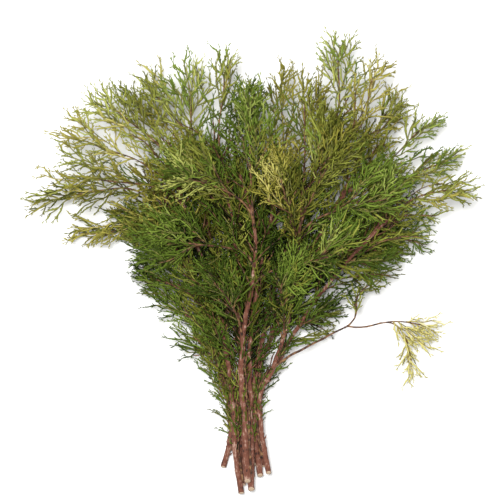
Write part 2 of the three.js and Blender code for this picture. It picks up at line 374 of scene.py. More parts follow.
def trace_limb(name):
    """The middle line of a limb's solid: its rings of corners, one after the other."""
    points = corners(name)
    _, along = main_axis(points)
    order = np.argsort(along)
    points, along = points[order], along[order]
    # Corners of one ring lie much closer together along the limb than two rings do.
    gap = 0.4 * (along[-1] - along[0]) / (STEM_RINGS if name in STEMS else BOUGH_RINGS)
    rings = np.split(points, np.flatnonzero(np.diff(along) > gap) + 1)
    middles = np.array([(ring.min(axis=0) + ring.max(axis=0)) / 2 for ring in rings])
    spans = [np.linalg.norm(ring - middle, axis=1) for ring, middle in zip(rings, middles)]
    radii = np.array([np.percentile(span, 70) for span in spans])
    order = np.arange(len(radii))
    return middles, np.polyval(np.polyfit(order, radii, 1), order)


def distance_to(line, point):
    """How far a point is from a line."""
    return np.linalg.norm(line.points - point, axis=1).min()


def swayed(line, index, sway):
    """The line with the small crooks of a grown limb, none at its two ends."""
    path = []
    for point, radius, s in zip(line.points, line.radii, line.along):
        fade = min(1.0, 4 * s / line.length, 4 * (1 - s / line.length))
        # One crook is about 26 mm long. The three directions are read from three places of one noise, because
        # the library's noise for vectors gives other values on each run.
        spot = Vector((s / (26 * MM), index * 5.1, 0.0))
        crook = Vector([noise.noise(spot + Vector((0.0, 0.0, shift))) for shift in (0.0, 11.3, 23.7)])
        path.append(point + fade * sway * (radius + 1.5 * MM) * 2 * np.array(crook))
    return Line(path, line.radii)


def trace_limbs(bark):
    """Every limb's line, from its foot to its tip. A bough starts on its parent's own middle line."""
    limbs = {}
    for name in LIMBS:
        middles, radii = trace_limb(name)
        parent = limbs.get(PARENTS.get(name))
        if parent is None:
            backwards = middles[0][1] > middles[-1][1]
        else:
            backwards = distance_to(parent, middles[0]) > distance_to(parent, middles[-1])
        if backwards:
            middles, radii = middles[::-1], radii[::-1]
        if parent is not None:
            behind = middles[0] - 6 * MM * unit(middles[1] - middles[0])
            foot = parent.points[np.linalg.norm(parent.points - behind, axis=1).argmin()]
            middles = np.vstack([foot, middles])
            if name in SHOOTS:
                thickest, thinnest = (bark.shoot_foot if name == "shoot" else bark.shoot_tip), bark.shoot_tip
            else:
                thickest, thinnest = bark.bough_foot, bark.bough_tip
            radii = np.linspace(thickest, thinnest, len(middles))
        limbs[name] = swayed(smooth(middles, radii, 2 * MM), len(limbs), bark.sway)
    return limbs


class Mass:
    """The space of one mass of foliage: a middle line from foot to tip, and half its width and height."""

    # The mass is cut across at this many places, its two ends among them.
    STATIONS = 7

    def __init__(self, name, limbs):
        points = corners(name)
        axis, along = main_axis(points)
        tips = {limb: line.points[-1] for limb, line in limbs.items()}
        ends = [points[along.argmin()], points[along.argmax()]]
        near = [min(np.linalg.norm(end - tip) for tip in tips.values()) for end in ends]
        self.name = name
        self.limb = None
        # A mass with an end on a limb's tip grows from that limb.
        if min(near) < 4 * MM:
            backwards = near[1] < near[0]
            foot = ends[1] if backwards else ends[0]
            self.limb = min(tips, key=lambda limb: np.linalg.norm(foot - tips[limb]))
        else:
            backwards = np.linalg.norm(ends[1] - WAIST) < np.linalg.norm(ends[0] - WAIST)
        if backwards:
            axis, along, ends = -axis, -along, ends[::-1]
        edges = np.linspace(along.min(), along.max(), self.STATIONS)
        middles, widths, heights = [ends[0]], [], []
        right, over = across(axis), np.cross(across(axis), axis)
        for low, high in zip(edges[:-1], edges[1:]):
            ring = points[(along >= low) & (along <= high)]
            if len(ring) < 4:
                continue
            middles.append((ring.min(axis=0) + ring.max(axis=0)) / 2)
            widths.append(np.ptp(ring @ right) / 2)
            heights.append(np.ptp(ring @ over) / 2)
        middles.append(ends[1])
        self.width, self.height = max(widths), max(heights)
        # Both ends are about half as wide and high as the sections next to them.
        widths = [0.5 * widths[0], *widths, 0.45 * widths[-1]]
        heights = [0.5 * heights[0], *heights, 0.45 * heights[-1]]
        self.line = smooth(middles, widths, 3 * MM)
        self.widths = self.line.radii
        self.heights = smooth(middles, heights, 3 * MM).radii
        self.length = self.line.length
        outer = self.line.at(0.6 * self.length)
        self.at_rim = bool(self.limb) or np.linalg.norm(outer[:2]) > RIM_SHARE * RIM

    def section(self, t):
        """At t of the way along: the middle, the directions along, across and over, and half the size."""
        s = t * self.length
        run = self.line.direction(s, 10 * MM)
        right = across(run)
        size = [np.interp(s, self.line.along, sizes) for sizes in (self.widths, self.heights)]
        return self.line.at(s), run, right, np.cross(right, run), size

    def place(self, point):
        """How far along the mass a point is, and how far out, where 1 is the tip and the side."""
        i = np.linalg.norm(self.line.points - point, axis=1).argmin()
        s = self.line.along[i]
        middle, run, right, over, (width, height) = self.section(s / self.length)
        out = point - middle
        side = math.hypot(out @ right / width, out @ over / height)
        return (s + out @ run) / self.length, side


# ---------------------------------------------------------------- growth


class Spray:
    """One spray: where it grows, which way, its face's direction, its length, and the mass it belongs to."""

    def __init__(self, foot, run, face, size, mass, inner=False):
        self.foot, self.run, self.face, self.size = foot, run, face, size
        self.mass, self.inner = mass, inner


def ripple(spot, size, shift):
    """A smooth pattern through space, from -1 to 1, with patches of about a size."""
    return 1.6 * noise.noise(Vector(spot / size) + Vector((shift, 0, 0)))


def tint_of(spray, rng):
    """The tint of a spray: light at the rim and on top, dark inside, and alike among neighbours."""
    spot = spray.foot + 0.6 * spray.size * spray.run
    slot = SLOTS[spray.mass]
    outward = min(1.2, math.hypot(spot[0], spot[1]) / RIM)
    # It rises from 0, at 20 mm from the middle towards the feet, to 1, at 120 mm.
    near_feet = min(1.0, max(0.0, -20 * MM - spot[1]) / (100 * MM))
    # The tone starts from painted shade deep inside; painted light is added at the rim, partly for its lighter
    # young tips, and on top.
    tone = SHADED_TONE_INSIDE + RIM_TIPS_AND_PAINTED_LIGHT * outward**1.6 + PAINTED_LIGHT_ON_TOP * spot[2] / CROWN_HEIGHT
    tone += TONE_LIFT + TONE_FEET * near_feet
    tone += TONE_PATCH * ripple(spot, TONE_PATCH_SIZE, 0.0) + rng.normal(0, TONE_CHANCE)
    # Sprays on the limbs lie under the masses: painted shade keeps them darker and never among the lightest.
    if spray.inner:
        tone = min(tone - 0.02, 0.75)
    if slot in FAMILIES:
        family = FAMILIES.index(slot) + FAMILY_PATCH * ripple(spot, FAMILY_PATCH_SIZE, 9.0)
        family = family + rng.normal(0, FAMILY_CHANCE) + 0.4 * spray.inner
        slot = FAMILIES[min(max(round(family), 0), len(FAMILIES) - 1)]
    steps = len(TINTS[slot])
    return slot, min(max(int(tone * steps), 0), steps - 1)


def lead_twig(mass, limbs):
    """A mass's leader: from its own limb's tip, or else from the nearest limb behind it, to near its tip."""
    end = mass.section(0.72)[0]
    foot_of_mass, run, *_ = mass.section(0.0)
    if mass.limb:
        line = limbs[mass.limb]
        s = line.length
    else:
        # It forks at least this far behind the mass. A point of a limb that isn't there counts as 1 m away.
        behind = 15 * MM
        wanted = foot_of_mass - behind * run
        best = None
        for line in limbs.values():
            gaps = np.linalg.norm(line.points - wanted, axis=1)
            gaps[(foot_of_mass - line.points) @ run < behind] = 1.0
            i = gaps.argmin()
            if best is None or gaps[i] < best[0]:
                best = (gaps[i], line, line.along[i])
        _, line, s = best
    span = np.linalg.norm(end - line.at(s))
    radii = (min(0.9 * line.radius(s), 2.0 * MM), 0.9 * MM)
    arrive = unit(mass.section(0.8)[0] - mass.section(0.5)[0])
    return bent(line.at(s), line.direction(s) * 0.4 * span, end, arrive * 0.35 * span, radii, 4 * MM)


def side_twig(mass, leader, index, count, phase, rng):
    """A twig that forks from a mass's leader and ends at its own place in the mass."""
    out = 0.80 * math.sqrt(index / count)
    turn = phase + index * GOLDEN_ANGLE
    t_end = 0.80 - 0.28 * out**2 + rng.uniform(-0.12, 0.08)
    middle, run, right, over, (width, height) = mass.section(t_end)
    offset = right * math.cos(turn) * out * width + over * math.sin(turn) * out * height
    end = middle + offset
    reach = max(1.7 * np.linalg.norm(offset), 0.28 * mass.length) * rng.uniform(0.85, 1.25)
    along = np.linalg.norm(leader.points - (end - reach * run), axis=1)
    s = leader.along[along.argmin()]
    span = np.linalg.norm(end - leader.at(s))
    leave = unit(leader.direction(s) + 0.5 * unit(offset))
    radii = (min(0.75 * leader.radius(s), 1.3 * MM), 0.75 * MM)
    arrive = unit(run + 0.4 * unit(offset))
    return bent(leader.at(s), leave * 0.35 * span, end, arrive * 0.3 * span, radii, 4 * MM, mass.at_rim)


def grow_mass(mass, limbs, growth, sprays, rng):
    """The twigs of one mass and the sprays that grow along them."""
    leader = lead_twig(mass, limbs)
    area = growth.rim_twig_area if mass.at_rim else growth.twig_area
    every = growth.rim_spray_every if mass.at_rim else growth.spray_every
    count = max(2, round(mass.width * mass.height / area))
    phase = rng.uniform(0, 2 * math.pi)
    twigs = [leader] + [side_twig(mass, leader, k + 1, count, phase, rng) for k in range(count)]
    found = []
    for twig in twigs:
        s = (0.25 if twig is leader else 0.1) * twig.length
        order = 0
        while s < twig.length:
            found += side_spray(mass, twig, s, order, growth, sprays, rng)
            order += 1
            s += every * thinning(mass, twig.at(s)) * rng.uniform(0.75, 1.25)
        found += tip_sprays(mass, twig, growth, sprays, rng)
    return twigs, found


def thinning(mass, point):
    """The factor on the usual distance between sprays at a point. It grows towards the rim of the bunch."""
    if mass.at_rim:
        return 0.6 + 0.9 * min(max(mass.place(point)[0], 0.0), 1.0)
    return 1.0 + 2.4 * max(0.0, np.linalg.norm(point[:2]) / RIM - 0.65)


def fit_spray(mass, foot, run, size, stray):
    """Turns a spray in and shortens it until its tip is no further out than stray, or gives up.

    Each try turns it 18% of the way to a point further on in the mass, and leaves 88% of its length."""
    for _ in range(5):
        t, side = mass.place(foot + size * run)
        if side <= stray and t <= 0.98:
            return run, size
        middle, onward, *_ = mass.section(min(max(t, 0.0), 1.0))
        run = unit(0.82 * run + 0.18 * unit(middle + 0.2 * mass.length * onward - foot))
        size *= 0.88
    return run, None


def side_spray(mass, twig, s, order, growth, sprays, rng):
    """A spray on the side of a twig, if it fits. Its turn round the twig is the golden angle each time."""
    point, heading = twig.at(s), twig.direction(s)
    right = across(heading)
    over = np.cross(right, heading)
    turn = order * GOLDEN_ANGLE + rng.uniform(-0.5, 0.5)
    out = unit(math.cos(turn) * right + 0.75 * math.sin(turn) * over)
    spread = growth.spray_angle * rng.uniform(0.65, 1.3) * (1.15 - 0.35 * s / twig.length)
    run = unit(math.cos(spread) * heading + math.sin(spread) * out)
    size = rng.uniform(sprays.short, sprays.long) * (1.0 - 0.2 * s / twig.length)
    if mass.place(point)[0] > 0.02:  # A spray on the way to its mass isn't fitted to it.
        run, size = fit_spray(mass, point, run, size, growth.rim_stray if mass.at_rim else growth.stray)
    if size is None or size < 0.5 * sprays.short:
        return []
    face = unit(np.cross(run, heading) + rng.normal(0, 0.35, 3) + 0.6 * over)
    return [Spray(point, run, face, size, mass.name)]


def tip_sprays(mass, twig, growth, sprays, rng):
    """The sprays that a twig ends in: one straight on, and one to each side or, at the rim, to one side."""
    found = []
    heading = twig.direction(twig.length)
    right = across(heading)
    leans = (0.0, rng.choice([-1.0, 1.0])) if mass.at_rim else (0.0, -1.0, 1.0)
    for lean in leans:
        spread = lean * math.radians(rng.uniform(14, 28))
        run = unit(math.cos(spread) * heading + math.sin(spread) * right + rng.normal(0, 0.06, 3))
        point = twig.at(twig.length - abs(lean) * rng.uniform(3, 14) * MM)
        size = rng.uniform(0.75, 1.3) * (sprays.middle if lean else 0.5 * (sprays.middle + sprays.long))
        run, size = fit_spray(mass, point, run, size, growth.rim_stray if mass.at_rim else growth.stray)
        if size is not None:
            found.append(Spray(point, run, unit(UP + rng.normal(0, 0.3, 3)), size, mass.name))
    return found


def clothe_limb(name, line, masses, growth, sprays, rng):
    """Sprays straight on a limb: small and few on the bare part of a stem, close together further up."""
    found = []
    bare = growth.bare_stem if name in STEMS else growth.bare_bough
    s = 0.0
    order = rng.integers(5)
    while s < line.length:
        inside = s > bare * rng.uniform(0.9, 1.1)
        point, heading = line.at(s), line.direction(s)
        right = across(heading)
        over = np.cross(right, heading)
        turn = order * GOLDEN_ANGLE
        out = math.cos(turn) * right + (0.8 * math.sin(turn)) * over
        if name == growth.clear_stem:
            out = out - max(0.0, out @ over + 0.35) * over
        spread = growth.spray_angle * (rng.uniform(0.8, 1.3) if inside else rng.uniform(0.35, 0.8))
        run = unit(math.cos(spread) * heading + math.sin(spread) * unit(out))
        if inside and name != "shoot_side":
            size = rng.uniform(sprays.short, sprays.long)
        else:
            size = rng.uniform(0.55, 0.95) * sprays.short
        # Sprigs are rarer on the right.
        chance = growth.sprig_chance * (1 if point[0] < 0 else 0.6)
        if inside or (s > growth.first_sprig and rng.random() < chance):
            near = min(masses, key=lambda mass: distance_to(mass.line, point))
            face = unit(out + 0.8 * over + rng.normal(0, 0.3, 3))
            found.append(Spray(point, run, face, size, near.name, True))
        order += 1
        s += growth.limb_spray_every * rng.uniform(0.7, 1.3)
    return found


def covers(spray, line, first, last, reach):
    """Whether a spray lies above a limb's line, between two parts of its length."""
    part = line.points[int(first * len(line.points)) : int(last * len(line.points))]
    for t in (0.3, 0.6, 0.9):
        spot = spray.foot + t * spray.size * spray.run
        gaps = np.linalg.norm(part[:, :2] - spot[:2], axis=1)
        if gaps.min() < reach and spot[2] > part[gaps.argmin()][2]:
            return True
    return False


def keep_low(spray):
    """Turns down a spray whose tip would rise above the ceiling, and turns its face up."""
    rise = spray.foot[2] + spray.size * spray.run[2] - CEILING
    if rise > 0:
        spray.run = unit(spray.run - rise / spray.size * UP)
        spray.face = unit(spray.face + 2 * UP)


def grow_bunch(scene):
    """The limbs, the twigs and the sprays of the whole bunch, always the same for the same seeds."""
    growth, sizes = scene.cypress_growth, scene.cypress_sprays
    limbs = trace_limbs(scene.cypress_bark)
    masses = [Mass(name, limbs) for name in MASSES]
    twigs, sprays = [], []
    for index, mass in enumerate(masses):
        rng = np.random.default_rng([growth.seed, index])
        more_twigs, more_sprays = grow_mass(mass, limbs, growth, sizes, rng)
        twigs += more_twigs
        sprays += more_sprays
    rng = np.random.default_rng([growth.seed, len(masses)])
    for name, line in limbs.items():
        if name not in BARE_SHOOTS:
            sprays += clothe_limb(name, line, masses, growth, sizes, rng)
    for name, (first, last) in IN_VIEW.items():
        sprays = [
            spray
            for spray in sprays
            if rng.random() > growth.clearing or not covers(spray, limbs[name], first, last, growth.clear_width)
        ]
    for spray in sprays:
        keep_low(spray)
    return limbs, twigs, sprays


GROWN = {}


def grown(scene):
    """What grow_bunch gives, worked out once."""
    if not GROWN:
        GROWN["limbs"], GROWN["twigs"], GROWN["sprays"] = grow_bunch(scene)
    return GROWN


# ---------------------------------------------------------------- meshes


class Builder:
    """Collects rods and caps for one mesh."""

    def __init__(self):
        self.points = []
        self.faces = []

    def ring(self, points):
        first = len(self.points)
        self.points.extend(points)
        return list(range(first, first + len(points)))

    def join(self, low, high):
        """Walls between two rings of as many points."""
        n = len(low)
        self.faces.extend((low[k], low[(k + 1) % n], high[(k + 1) % n], high[k]) for k in range(n))

    def fan(self, ring, tip, outward=True):
        """Closes a ring to one point."""
        n = len(ring)
        for k in range(n):
            pair = (ring[k], ring[(k + 1) % n])
            self.faces.append((*pair, tip) if outward else (pair[1], pair[0], tip))

    def mesh(self, name):
        mesh = bpy.data.meshes.new(name)
        mesh.from_pydata([tuple(p) for p in self.points], [], self.faces)
        mesh.validate()
        mesh.shade_smooth()
        return mesh


def rod(builder, path, radii, sides=3, turn=0.0):
    """A thin closed rod along a path, with a pointed tip."""
    path = np.asarray(path, float)
    rings = []
    side = None
    for i in range(len(path) - 1):
        run = unit(path[min(i + 1, len(path) - 1)] - path[max(i - 1, 0)])
        side = across(run) if side is None else unit(side - (side @ run) * run)
        over = np.cross(run, side)
        angles = [turn + 2 * math.pi * k / sides for k in range(sides)]
        rings.append(
            builder.ring([path[i] + radii[i] * (math.cos(a) * side + math.sin(a) * over) for a in angles])
        )
    for low, high in zip(rings[:-1], rings[1:]):
        builder.join(low, high)
    tip = builder.ring([path[-1]])[0]
    builder.fan(rings[-1], tip)
    foot = builder.ring([path[0]])[0]
    builder.fan(rings[0], foot, outward=False)


def prong(builder, foot, run, size, thick):
    """A scale-leaved prong: a blunt spindle of six faces, thickest past its middle."""
    side = across(run)
    over = np.cross(run, side)
    belly = foot + 0.62 * size * run
    angles = [math.pi / 2 + 2 * math.pi * k / 3 for k in range(3)]
    ring = builder.ring([belly + 0.5 * thick * (math.cos(a) * side + math.sin(a) * over) for a in angles])
    ends = builder.ring([foot, foot + size * run])
    builder.fan(ring, ends[1])
    builder.fan(ring, ends[0], outward=False)


def spray_pattern(name, size, bushy, sizes, rng):
    """One spray along +Y with its face towards +Z: its axis, and its branchlets, which are on both sides."""
    stalk, builder = Builder(), Builder()
    bow, lift = rng.uniform(-0.18, 0.18), rng.uniform(-0.08, 0.14)
    t = np.linspace(0, 1, 8)
    wave = 0.03 * np.sin(2 * math.pi * t * rng.uniform(0.8, 1.6))
    axis = Line(
        np.stack([size * (bow * t**2 + wave), size * t * (1 - 0.04 * t), lift * size * t**2], axis=1),
        0.42 * sizes.thickness * (1.15 - 0.4 * t),
    )
    rod(stalk, axis.points, axis.radii)
    s = 0.07 * size
    side = 1 if rng.random() < 0.5 else -1
    while s < 0.95 * size:
        t = s / size
        longest = sizes.branchlet * (0.55 + 0.45 * min(1, t / 0.3)) * (1 - 0.6 * t**1.6)
        branchlet(builder, axis, s, side, longest * rng.uniform(0.6, 1.15), bushy, sizes, rng)
        side = -side
        s += sizes.branchlet_every * (1.45 - 0.6 * bushy) * rng.uniform(0.7, 1.3)
    return stalk.mesh(name + "_axis"), builder.mesh(name)


def branchlet(builder, axis, s, side, size, bushy, sizes, rng):
    """A branchlet that leaves the axis to one side and bends forward, with prongs on both its own sides."""
    heading = axis.direction(s)
    out = side * across(heading)
    lean = rng.normal(0, 0.14 + 0.5 * bushy)
    out = unit(math.cos(lean) * out + math.sin(lean) * UP)
    spread = sizes.branchlet_angle * (1.2 - 0.2 * bushy) * rng.uniform(0.75, 1.25)
    spread = spread * (1.1 - 0.35 * s / axis.length)
    bend = rng.uniform(0.3, 1.0) * spread
    count = 3 if size > 0.45 * sizes.branchlet else 2
    path, point = [], axis.at(s)
    for k in range(count + 1):
        path.append(point)
        a = spread - bend * (k + 0.5) / count + rng.normal(0, 0.16)
        point = point + size / count * (math.cos(a) * heading + math.sin(a) * out)
    thick = sizes.thickness * rng.uniform(0.85, 1.1)
    line = Line(path, np.array([0.40, 0.54, 0.50, 0.42])[: count + 1] * thick)
    rod(builder, line.points, line.radii, turn=rng.uniform(0, 2))
    plane = unit(np.cross(heading, out))
    d = 0.2 * size
    hand = side
    while d < 0.9 * size:
        prong_size = sizes.prong * rng.uniform(0.55, 1.25) * (1.15 - 0.4 * d / size)
        run = forked(line.direction(d, 1 * MM), plane, hand * math.radians(rng.uniform(16, 36)), bushy, rng)
        foot = line.at(d)
        if size > 0.6 * sizes.branchlet and rng.random() < 0.3:
            prong_size *= 1.7
            for part in (0.45, 0.75):
                hook = forked(run, plane, math.radians(rng.choice([-32, 32])), bushy, rng)
                prong(builder, foot + part * prong_size * run, hook, 0.6 * sizes.prong, 0.7 * thick)
        prong(builder, foot, run, prong_size, 0.78 * thick)
        hand = -hand
        d += sizes.prong_every * rng.uniform(0.7, 1.3)
    for hand in (-1, 1):
        turn = hand * math.radians(rng.uniform(6, 22))
        run = forked(line.direction(0.95 * size, 1 * MM), plane, turn, bushy, rng)
        fork = rng.uniform(0.6, 1.0) * sizes.prong
        prong(builder, line.at(rng.uniform(0.8, 0.95) * size), run, fork, 0.66 * thick)


def forked(run, plane, turn, bushy, rng):
    """A direction turned in a plane, and a little out of it on a bushy spray."""
    aside = np.cross(plane, run)
    return unit(math.cos(turn) * run + math.sin(turn) * aside + 0.25 * bushy * rng.normal(0, 1) * plane)


def bark_relief(points, radius, centre, index, ridge):
    """How far a ring's points stand out from its radius: long ridges, finer along a thin limb."""
    heights = []
    for point in points:
        spot = Vector((point - centre) / (1.9 * MM)) + Vector((0, 0, index * 7.3))
        along = Vector((0, centre[1] / (9 * MM), centre[0] / (11 * MM)))
        heights.append(ridge * radius * noise.noise(spot + along) * 1.6)
    return heights


def bark_tube(builder, line, sides, bark, rng, index, foot_slope=None):
    """A limb's bark: rings that follow its line, with ridges, knots and a collar at a fork.

    With a foot_slope its foot is a slanting cut, and the ring round that cut is returned."""
    count = max(3, round(line.length / bark.step))
    stations = np.linspace(0, line.length, count + 1)
    knots = [
        (rng.uniform(0, line.length), rng.uniform(0, 2 * math.pi), rng.uniform(0.4, 1.0))
        for _ in range(round(line.length / bark.knot_every))
    ]
    side = None
    rings = []
    for s in stations:
        centre, run, radius = line.at(s), line.direction(s), line.radius(s)
        side = across(run) if side is None else unit(side - (side @ run) * run)
        over = np.cross(run, side)
        if foot_slope is None:
            radius *= 1 + 0.55 * math.exp(-s / (1.2 * radius))
        turns = np.arange(sides) * 2 * math.pi / sides
        spokes = np.cos(turns)[:, None] * side + np.sin(turns)[:, None] * over
        heights = bark_relief(centre + spokes * radius, radius, centre, index, bark.ridge)
        for at, turn, strength in knots:
            if abs(at - s) < 8 * MM:
                gap = (turns - turn + math.pi) % (2 * math.pi) - math.pi
                bump = np.exp(-(((s - at) / (2.2 * MM)) ** 2) - (gap / 0.55) ** 2)
                heights = heights + strength * bark.knot_height * radius * bump
        points = centre + spokes * (radius + np.asarray(heights))[:, None]
        if foot_slope is not None:
            fade = max(0.0, 1 - s / (14 * MM))
            points = points + run * (fade * math.tan(foot_slope) * ((points - centre) @ UP))[:, None]
        rings.append(builder.ring(points))
    for low, high in zip(rings[:-1], rings[1:]):
        builder.join(low, high)
    tip = builder.ring([line.points[-1] + line.radius(line.length) * line.direction(line.length)])[0]
    builder.fan(rings[-1], tip)
    foot = builder.ring([np.mean([builder.points[i] for i in rings[0]], axis=0)])[0]
    builder.fan(rings[0], foot, outward=False)
    return [builder.points[i] for i in rings[0]]


def bare_twig(builder, line, bark, rng):
    """A thin dead twig that lies along one side of a stem's first part, with knots where its leaves were."""
    side = rng.choice([-1, 1])
    first, last = rng.uniform(8, 30) * MM, rng.uniform(110, 190) * MM
    path = []
    for s in np.arange(first, last, 4 * MM):
        run = line.direction(s)
        right = across(run)
        reach = line.radius(s) + (1.0 + 2.5 * (s - first) / (last - first)) * MM
        out = unit(side * right + 0.5 * np.cross(right, run))
        path.append(line.at(s) + reach * out + rng.normal(0, 0.35 * MM, 3))
    radii = np.linspace(1.6, 0.9, len(path)) * MM * np.where(np.arange(len(path)) % 3 == 0, 1.35, 1.0)
    rod(builder, path, radii, bark.twig_sides)
    twig = Line(path, radii)
    for s in np.arange(0.1, 0.95, 0.09) * twig.length:
        aside = unit(rng.normal(0, 1, 3))
        prong(builder, twig.at(s), unit(twig.direction(s) + 0.8 * aside), rng.uniform(3, 6) * MM, 1.3 * MM)


def bark_stubs(builder, line, reach, bark, rng):
    """Stubs of broken twigs along the first part of a stem, each a short rod that leans towards the tips."""
    s = 18 * MM
    while s < reach:
        run = line.direction(s)
        right = across(run)
        turn = rng.uniform(0, 2 * math.pi)
        out = math.cos(turn) * right + math.sin(turn) * np.cross(right, run)
        lean = math.radians(rng.uniform(25, 60))
        size = bark.stub * rng.uniform(0.4, 1.3)
        foot = line.at(s) + 0.6 * line.radius(s) * out
        elbow = foot + 0.5 * size * unit(math.sin(lean) * out + math.cos(lean) * run)
        tip = elbow + 0.5 * size * unit(0.6 * math.sin(lean) * out + math.cos(lean) * run)
        thick = rng.uniform(0.5, 1.0) * MM
        rod(builder, [foot, elbow, tip], [1.3 * thick, thick, 0.7 * thick], bark.twig_sides)
        s += bark.stub_every * rng.uniform(0.5, 1.5)


def rest_on_table(mesh):
    """Presses what reaches through the table flat on it."""
    co = np.empty(len(mesh.vertices) * 3, np.float32)
    mesh.vertices.foreach_get("co", co)
    co = co.reshape(-1, 3)
    soft = 4 * MM
    low = co[:, 2] < soft
    co[low, 2] = soft * np.exp((co[low, 2] - soft) / soft) * 0.85 + 0.15 * soft
    mesh.vertices.foreach_set("co", co.ravel())
    mesh.update()


def finished(name, mesh, material, nodes):
    """A piece of the bunch: its mesh with its material, on the body, in place of its nodes."""
    piece = bpy.data.objects.new(name, mesh)
    bpy.context.scene.collection.objects.link(piece)
    mesh.materials.clear()
    mesh.materials.append(material)
    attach(piece, BODY)
    if nodes:
        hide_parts(*nodes)
    return piece


# ---------------------------------------------------------------- nodes


def add(tree, kind, values=None, **settings):
    """Adds a node with its settings, and sets or links its inputs: a socket is linked, a value is set."""
    node = tree.nodes.new(kind)
    for key, value in settings.items():
        setattr(node, key, value)
    for key, value in (values or {}).items():
        if isinstance(value, bpy.types.NodeSocket):
            tree.links.new(value, node.inputs[key])
        else:
            node.inputs[key].default_value = value
    return node


def new_material(name):
    material = bpy.data.materials.new(name)
    material.use_nodes = True
    material.node_tree.nodes.clear()
    return material, material.node_tree


def ramp(tree, factor, stops):
    """A colour ramp through the stops, each a place from 0 to 1 and a colour."""
    node = add(tree, "ShaderNodeValToRGB", {"Fac": factor})
    elements = node.color_ramp.elements
    while len(elements) < len(stops):
        elements.new(0.5)
    for element, (place, shade) in zip(elements, stops):
        element.position = place
        element.color = shade
    return node.outputs["Color"]


def bark_material(bark):
    """Young cypress bark: thin fibrous strips that peel and weather, over a reddish ground."""
    material, tree = new_material("fibrous_reddish_bark")
    where = add(tree, "ShaderNodeTexCoord").outputs["Object"]
    # Strips about 2 mm wide and 12 mm long, along the stems.
    strips = add(tree, "ShaderNodeMapping", {"Vector": where, "Scale": (500, 85, 500)}).outputs["Vector"]
    fibre = add(tree, "ShaderNodeTexNoise", {"Vector": strips, "Scale": 1.0, "Detail": 6.0, "Roughness": 0.68})
    # Scars and patches from 3 mm up where the bark is paler or darker.
    patch = add(tree, "ShaderNodeTexNoise", {"Vector": where, "Scale": 85.0, "Detail": 4.0, "Roughness": 0.7})
    mixed = add(
        tree,
        "ShaderNodeMath",
        {0: fibre.outputs["Fac"], 1: patch.outputs["Fac"]},
        operation="ADD",
    )
    half = add(tree, "ShaderNodeMath", {0: mixed.outputs[0], 1: 0.5}, operation="MULTIPLY")
    shade = ramp(
        tree, half.outputs[0], [(0.39, bark.dark), (0.47, bark.middle), (0.53, bark.middle), (0.61, bark.light)]
    )
    bump = add(tree, "ShaderNodeBump", {"Height": fibre.outputs["Fac"], "Strength": 0.55, "Distance": 0.0006})
    shader = add(
        tree,
        "ShaderNodeBsdfPrincipled",
        {"Base Color": shade, "Roughness": 0.82, "IOR": 1.45, "Normal": bump.outputs["Normal"]},
    )
    add(tree, "ShaderNodeOutputMaterial", {"Surface": shader.outputs["BSDF"]})
    return material


def twig_material(kind, bark):
    """Bark of the year's twigs: smoother than that of the stems, and green on the youngest."""
    name = f"thin_{kind}_twig_bark"
    if name in bpy.data.materials:
        return bpy.data.materials[name]
    material, tree = new_material(name)
    dark, middle, light = (getattr(bark, f"{kind}_{part}") for part in ("dark", "middle", "light"))
    where = add(tree, "ShaderNodeTexCoord").outputs["Object"]
    # Patches of about 6 mm.
    patch = add(tree, "ShaderNodeTexNoise", {"Vector": where, "Scale": 160.0, "Detail": 3.0})
    shade = ramp(tree, patch.outputs["Fac"], [(0.35, dark), (0.5, middle), (0.65, light)])
    shader = add(tree, "ShaderNodeBsdfPrincipled", {"Base Color": shade, "Roughness": 0.75, "IOR": 1.45})
    add(tree, "ShaderNodeOutputMaterial", {"Surface": shader.outputs["BSDF"]})
    return material


def cut_wood_material(bark):
    """Fresh wood cut with secateurs: pale, a little fibrous, with fine growth rings."""
    material, tree = new_material("fresh_cut_wood")
    where = add(tree, "ShaderNodeUVMap", uv_map="cut").outputs["UV"]
    # The face is two units across, so the seven rings to a radius of 4.5 mm are about 0.6 mm apart.
    rings = add(
        tree,
        "ShaderNodeTexWave",
        {"Vector": where, "Scale": 2.2, "Distortion": 1.6, "Detail": 2.0, "Detail Scale": 1.5},
        wave_type="RINGS",
        rings_direction="Z",
    )
    shade = ramp(tree, rings.outputs["Fac"], [(0.2, bark.wood), (0.95, bark.wood_ring)])
    shader = add(tree, "ShaderNodeBsdfPrincipled", {"Base Color": shade, "Roughness": 0.72, "IOR": 1.5})
    add(tree, "ShaderNodeOutputMaterial", {"Surface": shader.outputs["BSDF"]})
    return material


def leaf_material(tint, shade):
    """Scale leaves: a waxy skin with a soft, low gloss. One plain colour, because tints go by spray."""
    material, tree = new_material("scale_leaves_" + tint[8:])
    shader = add(
        tree,
        "ShaderNodeBsdfPrincipled",
        {"Base Color": tuple(shade), "Roughness": 0.68, "IOR": 1.42, "Specular IOR Level": 0.2},
    )
    add(tree, "ShaderNodeOutputMaterial", {"Surface": shader.outputs["BSDF"]})
    return material


